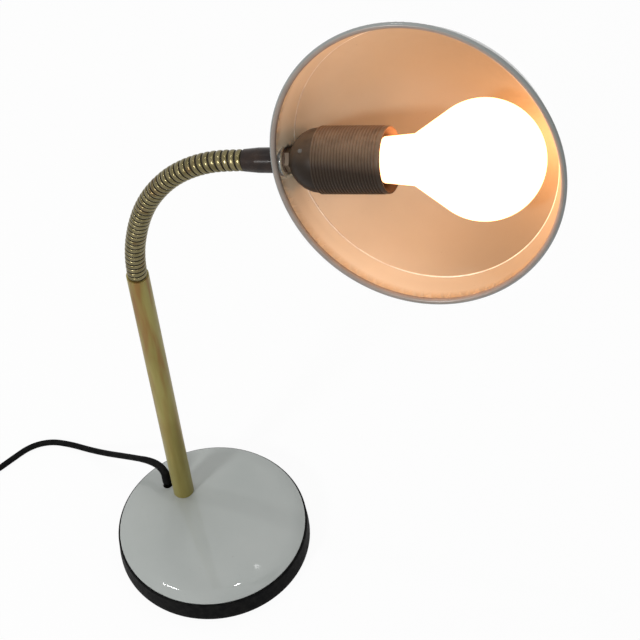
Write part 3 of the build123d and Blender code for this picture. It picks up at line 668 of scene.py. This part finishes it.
def apply_modifier(piece, kind, **settings):
    """Adds a modifier and applies it at once."""
    activate(piece)
    modifier = piece.modifiers.new(kind, kind)
    for key, value in settings.items():
        setattr(modifier, key, value)
    bpy.ops.object.modifier_apply(modifier=modifier.name)


def place(piece, matrix):
    """Puts a piece modelled in millimetres in its place, in metres, with its origin at zero."""
    activate(piece)
    piece.matrix_world = matrix
    bpy.ops.object.transform_apply(location=True, rotation=True, scale=True)


def outline(points):
    """An open line of edges in the XZ plane, drawn from (radius, height) points."""
    bpy.ops.object.select_all(action="DESELECT")
    bpy.ops.mesh.primitive_plane_add(size=1, location=(0, 0, 0))
    line = bpy.context.object
    bpy.ops.object.mode_set(mode="EDIT")
    bpy.ops.mesh.select_all(action="SELECT")
    bpy.ops.mesh.merge(type="CENTER")
    x, z = points[0]
    bpy.ops.transform.translate(value=(x, 0, z))
    for nx, nz in points[1:]:
        bpy.ops.mesh.extrude_region_move(TRANSFORM_OT_translate={"value": (nx - x, 0, nz - z)})
        x, z = nx, nz
    bpy.ops.object.mode_set(mode="OBJECT")
    return line


def clean_surface(piece):
    """Merges doubles and turns every face outwards."""
    activate(piece)
    bpy.ops.object.mode_set(mode="EDIT")
    bpy.ops.mesh.select_all(action="SELECT")
    bpy.ops.mesh.remove_doubles(threshold=TOUCHING)
    bpy.ops.mesh.normals_make_consistent(inside=False)
    bpy.ops.object.mode_set(mode="OBJECT")


def turned(points, sides):
    """A piece turned about Z from (radius, height) points."""
    piece = outline(points)
    apply_modifier(piece, "SCREW", angle=2 * pi, steps=sides, render_steps=sides, screw_offset=0,
                   axis="Z", use_merge_vertices=True, merge_threshold=TOUCHING)
    clean_surface(piece)
    return piece


# ------------------------------------------------------------------ shade
RIM_R = 88.2
BEAD_R = 1.9
BEAD_GREY_FROM = 0.75     # the bead is grey from this far outside its middle line
BEAD_SLACK = 0.03         # of its radius, within which a point is on the bead
BOWL_MIDDLE = Vector((0, 0, 6))
SHADE_FINISHES = (SHADE_GREY_PAINTED_SHADE, WHITE, RIM_PAINTED_SHADE)
WHITE_SLOT = 1
RIM_SHADE_SLOT = 2
MERGE_NEAR = 1e-6         # metres
CREASE_R = 79.4
RIDGE = 0.5               # radius of the ridge pressed along the crease
RIDGE_STEPS = 8
RIDGE_SIDES = 180


def bead_offset(point):
    """Offset in the rim bead's section from its middle line, outwards and along the shade's axis."""
    return Vector((Vector((point.x, point.y)).length - (RIM_R - BEAD_R), point.z - BEAD_R))


def on_bead(point):
    """Whether a point is on the bead's round surface."""
    return abs(bead_offset(point).length - BEAD_R) < BEAD_SLACK * BEAD_R


def shade_skin():
    """The shade's own shell: grey outside in a darker copy of the base's lacquer (painted shade), white
    inside, and painted shade on the white enamel of the bead's inner side.
    """
    shell = NODES["shade"].copy()
    shell.data = NODES["shade"].data.copy()
    del shell["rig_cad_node"]      # the copy is a piece of its own
    bpy.context.collection.objects.link(shell)
    shell.matrix_world = Matrix.Identity(4)
    activate(shell)
    bpy.ops.object.mode_set(mode="EDIT")
    bpy.ops.mesh.select_all(action="SELECT")
    bpy.ops.mesh.remove_doubles(threshold=MERGE_NEAR)
    bpy.ops.object.mode_set(mode="OBJECT")
    shell.data.materials.clear()
    for finish in SHADE_FINISHES:
        shell.data.materials.append(finish)
    back = SHADE.inverted()
    turn = SHADE.to_3x3().inverted()
    points = [back @ vertex.co for vertex in shell.data.vertices]
    bead_faces = []
    for face in shell.data.polygons:
        at = back @ face.center
        inside = (turn @ face.normal).dot(BOWL_MIDDLE - at) > 0
        if all(on_bead(points[i]) for i in face.vertices):
            bead_faces.append(face.index)
            if bead_offset(at).x < BEAD_GREY_FROM and (at.z < BEAD_R or inside):
                face.material_index = RIM_SHADE_SLOT
        elif inside:
            face.material_index = WHITE_SLOT
    sharpen_border(shell, bead_faces)
    finish_piece(shell, "shade_shell", "grey_lacquer", "head", "shade", smooth=18)


def sharpen_border(piece, faces):
    """Marks the border of some faces sharp, so that no smooth shading runs across it."""
    activate(piece)
    bpy.ops.object.mode_set(mode="EDIT")
    bpy.ops.mesh.select_mode(type="FACE")
    bpy.ops.mesh.select_all(action="DESELECT")
    bpy.ops.object.mode_set(mode="OBJECT")
    for index in faces:
        piece.data.polygons[index].select = True
    bpy.ops.object.mode_set(mode="EDIT")
    bpy.ops.mesh.region_to_loop()
    bpy.ops.mesh.mark_sharp()
    bpy.ops.mesh.select_mode(type="VERT")
    bpy.ops.object.mode_set(mode="OBJECT")


def shade_ridge():
    """Fine ridge along the inside of the crease, finished with the painted highlight."""
    angles = [pi * i / RIDGE_STEPS for i in range(RIDGE_STEPS + 1)]
    points = [(CREASE_R - RIDGE * sin(a), CREASE_AT - RIDGE * cos(a)) for a in angles]
    ridge = turned(points, RIDGE_SIDES)
    ridge.data.materials.append(CREASE_HIGHLIGHT)
    place(ridge, SHADE)
    finish_piece(ridge, "shade_crease_ridge", "grey_lacquer", "head", smooth=80)


shade_skin()
shade_ridge()

# ------------------------------------------------------------------ lampholder jacket
JACKET_START = 48.5       # ends of the jacket and of its thread, along the holder's axis
THREAD_END = 88.0
JACKET_MOUTH = 91.0
JACKET_BORE_R = 16.6
THREAD_CREST_R = 19.9
THREAD_ROOT_R = 19.35
THREAD_TURNS = 21
# One thread: share of the pitch, and share of the height from root to crest.
THREAD_SHAPE = ((0.10, 0.0), (0.26, 0.7), (0.42, 1.0), (0.58, 1.0), (0.74, 0.7), (0.90, 0.0))
LIP_R = 19.6
LIP_EDGE_R = 18.7         # the bore opens to this at the mouth
LIP_DEPTH = 4.0
LIP_ROUND = 0.5           # how far the lip's corners are rounded
LIP_TAPER = 0.4           # how much narrower its end is
LIP_BEVEL = 0.1           # how far inwards its end slopes
JACKET_SIDES = 128


def jacket_skin():
    """The jacket's fine thread and its thin flared lip."""
    pitch = (THREAD_END - JACKET_START) / THREAD_TURNS
    points = [(JACKET_BORE_R, JACKET_START), (THREAD_ROOT_R, JACKET_START)]
    for turn in range(THREAD_TURNS):
        for share, height in THREAD_SHAPE:
            radius = THREAD_ROOT_R + (THREAD_CREST_R - THREAD_ROOT_R) * height
            points.append((radius, JACKET_START + (turn + share) * pitch))
    points += [(THREAD_ROOT_R, THREAD_END), (LIP_R, THREAD_END + LIP_ROUND),
               (LIP_R, JACKET_MOUTH - LIP_ROUND), (LIP_R - LIP_TAPER, JACKET_MOUTH),
               (LIP_EDGE_R, JACKET_MOUTH - LIP_BEVEL),
               (JACKET_BORE_R, JACKET_MOUTH - LIP_DEPTH), points[0]]
    jacket = turned(points, JACKET_SIDES)
    place(jacket, HEAD)
    finish_piece(jacket, "holder_jacket_thread", "brown_bakelite", "head", "holder_jacket", smooth=40)


jacket_skin()

# ------------------------------------------------------------------ flexible neck
NECK_D = 13.1
RIB_PITCH = 4.14
# One rib: share of the pitch, and depth below the neck's own radius.
RIB_PROFILE = ((0.00, -0.95), (0.09, -0.95), (0.12, -0.50), (0.17, -0.26), (0.26, -0.10), (0.37, -0.02),
               (0.48, 0.0), (0.60, -0.02), (0.71, -0.10), (0.80, -0.26), (0.85, -0.50), (0.88, -0.95))
NECK_SIDES = 40
NECK_STEPS = 16           # lengths between two points of the middle line
LINE_START = -0.4         # where that line starts, from the stem's top
LOW_TURNS = 2             # turns wound below its start
SPARE_TURNS = 3           # wound past both ends, then cut off
GROOVE_DEPTH = 0.45       # faces deeper than this take the groove's painted shade
STEM_CUT = -0.2           # the winding's ends, from the stem's top and the last joint
HEAD_CUT = -0.1
NECK_SMOOTH = 60


def neck_line():
    """The neck's middle line, through the middle of every link."""
    data = bpy.data.curves.new("neck_line", "CURVE")
    data.dimensions = "3D"
    points = [Vector((0, STEM_Y, STEM_TOP + LINE_START))] + PIVOTS
    spline = data.splines.new("NURBS")
    spline.points.add(len(points) - 1)
    for control, point in zip(spline.points, points):
        control.co = (*point, 1)
    spline.order_u = 3
    spline.use_endpoint_u = True
    spline.resolution_u = NECK_STEPS
    line = bpy.data.objects.new("neck_line", data)
    bpy.context.collection.objects.link(line)
    return line


def neck_winding():
    """One helical rib after another, wound straight and then bent along the neck."""
    turns = int(LINKS * LINK_L / RIB_PITCH) + SPARE_TURNS
    low = LOW_TURNS * RIB_PITCH
    profile = [(NECK_D / 2 + inward, share * RIB_PITCH - low) for share, inward in RIB_PROFILE]
    profile.append((profile[0][0], profile[0][1] + RIB_PITCH))
    winding = outline(profile)
    apply_modifier(winding, "SCREW", angle=2 * pi, steps=NECK_SIDES, render_steps=NECK_SIDES,
                   screw_offset=RIB_PITCH, iterations=turns, axis="Z", use_normal_calculate=True)
    clean_surface(winding)
    winding.data.materials.append(NECK_BRASS_PAINTED_SHADE)
    winding.data.materials.append(GROOVE_SHADE)
    for face in winding.data.polygons:
        if Vector((face.center.x, face.center.y)).length < NECK_D / 2 - GROOVE_DEPTH:
            face.material_index = 1
    line = neck_line()
    apply_modifier(winding, "CURVE", object=line, deform_axis="POS_Z")
    bpy.data.objects.remove(line)
    return winding


def cut(piece, point, normal, keep_upper):
    """Cuts a piece with a plane and keeps one side."""
    activate(piece)
    bpy.ops.object.mode_set(mode="EDIT")
    bpy.ops.mesh.select_all(action="SELECT")
    bpy.ops.mesh.bisect(plane_co=point, plane_no=normal,
                        clear_inner=keep_upper, clear_outer=not keep_upper)
    bpy.ops.object.mode_set(mode="OBJECT")


def neck_length(winding, number, lower, upper):
    """A copy of the winding between two planes, each a point and a normal."""
    length = winding.copy()
    length.data = winding.data.copy()
    bpy.context.collection.objects.link(length)
    cut(length, *lower, True)
    cut(length, *upper, False)
    place(length, STAND)
    length.name = "neck_winding_%02d" % number
    return length


def neck_skin():
    """The winding, in one length for each joint of the neck and a last one at the ferrule."""
    winding = neck_winding()
    up = [heading(lean) for lean in LINK_LEAN]
    middles = [(PIVOTS[k] + PIVOTS[k + 1]) / 2 for k in range(LINKS)]
    cuts = [((0, STEM_Y, STEM_TOP + STEM_CUT), (0, 0, 1))]
    cuts += list(zip(middles, up))
    cuts.append((PIVOTS[-1] + up[-1] * HEAD_CUT, up[-1]))
    bodies = ["stand"] + ["neck_%02d" % (k + 1) for k in range(LINKS)]
    for k in range(LINKS):
        length = neck_length(winding, k + 1, cuts[k], cuts[k + 1])
        finish_piece(length, length.name, "aged_brass", None, smooth=NECK_SMOOTH)
        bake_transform(length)
        if k > 0:
            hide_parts("neck_link_%02d" % k)
    last = neck_length(winding, LINKS + 1, cuts[-2], cuts[-1])
    finish_piece(last, last.name, "aged_brass", bodies[-1], "neck_link_%02d" % LINKS, smooth=NECK_SMOOTH)
    bpy.data.objects.remove(winding)


neck_skin()

# ------------------------------------------------------------------ light and floor
AMBIENT = 0.21
FLOOR_SIZE = 8            # metres, as are the lamps' places and sizes
FLOOR_GREY = (0.80, 0.80, 0.80)
FLOOR_WHITE_SHARE = 0.94  # how much of the floor that is seen is plain white
BASE_AT = (0, 0, 0.1)


def seen_directly(tree):
    """1 for rays from the camera and for reflected and refracted rays, else 0."""
    path = tree.nodes.new("ShaderNodeLightPath")
    total = path.outputs["Is Camera Ray"]
    for ray in ("Is Glossy Ray", "Is Transmission Ray"):
        both = tree.nodes.new("ShaderNodeMath")
        both.operation = "MAXIMUM"
        tree.links.new(total, both.inputs[0])
        tree.links.new(path.outputs[ray], both.inputs[1])
        total = both.outputs[0]
    return total


def make_world():
    """Soft light from all round, that is seen and mirrored as white."""
    world = bpy.data.worlds.new("studio")
    bpy.context.scene.world = world
    world.use_nodes = True
    tree = world.node_tree
    background = tree.nodes["Background"]
    background.inputs["Color"].default_value = (1, 1, 1, 1)
    level = tree.nodes.new("ShaderNodeMapRange")
    level.inputs["To Min"].default_value = AMBIENT
    level.inputs["To Max"].default_value = 1.0
    tree.links.new(seen_directly(tree), level.inputs["Value"])
    tree.links.new(level.outputs["Result"], background.inputs["Strength"])


def make_floor():
    """A pale floor that looks white and keeps a soft shadow."""
    bpy.ops.object.select_all(action="DESELECT")
    bpy.ops.mesh.primitive_plane_add(size=FLOOR_SIZE, location=(0, 0, 0))
    floor = bpy.context.object
    floor.name = "floor"
    made = material("floor", FLOOR_GREY, 0.9)
    tree = made.node_tree
    glow = tree.nodes.new("ShaderNodeEmission")
    mixed = tree.nodes.new("ShaderNodeMixShader")
    share = tree.nodes.new("ShaderNodeMath")
    share.operation = "MULTIPLY"
    share.inputs[1].default_value = FLOOR_WHITE_SHARE
    tree.links.new(seen_directly(tree), share.inputs[0])
    tree.links.new(share.outputs[0], mixed.inputs["Fac"])
    tree.links.new(tree.nodes["Principled BSDF"].outputs["BSDF"], mixed.inputs[1])
    tree.links.new(glow.outputs["Emission"], mixed.inputs[2])
    tree.links.new(mixed.outputs["Shader"], tree.nodes["Material Output"].inputs["Surface"])
    floor.data.materials.append(made)


def add_softbox(name, at, size, glow, target=BASE_AT, mirrored=True, length=None):
    """A round or oval lamp of one radiance all over, that glossy surfaces may mirror or not."""
    bpy.ops.object.light_add(type="AREA", location=at)
    lamp = bpy.context.object
    lamp.name = name
    lamp.data.shape = "ELLIPSE" if length else "DISK"
    lamp.data.size = size
    lamp.data.size_y = length or size
    area = pi / 4 * size * (length or size)
    lamp.data.energy = glow * area * pi
    lamp.visible_glossy = mirrored
    aim = Vector(target) - Vector(at)
    lamp.rotation_euler = aim.to_track_quat("-Z", "Y").to_euler()


make_world()
make_floor()
add_softbox("ceiling_panel", at=(0.8, 0.8, 3.2), size=4.0, glow=1.36, mirrored=False)
add_softbox("key_lamp", at=(-2.0, -0.4, 1.5), size=0.42, glow=62)
add_softbox("front_lamp", at=(-1.2, -1.8, 1.6), size=0.3, glow=14)
# Small far lamps that only make the glints on the base.
add_softbox("glint_left", at=(-0.445, 0.735, 2.26), size=0.08, length=0.30, glow=60,
            target=(-0.054, -0.024, 0.019))
add_softbox("glint_front", at=(0.325, 0.364, 2.36), size=0.09, glow=110, target=(-0.018, -0.054, 0.019))
add_softbox("glint_right", at=(0.635, 0.529, 2.26), size=0.045, glow=8, target=(0.001, -0.052, 0.020))

bpy.context.scene.view_settings.view_transform = "Standard"
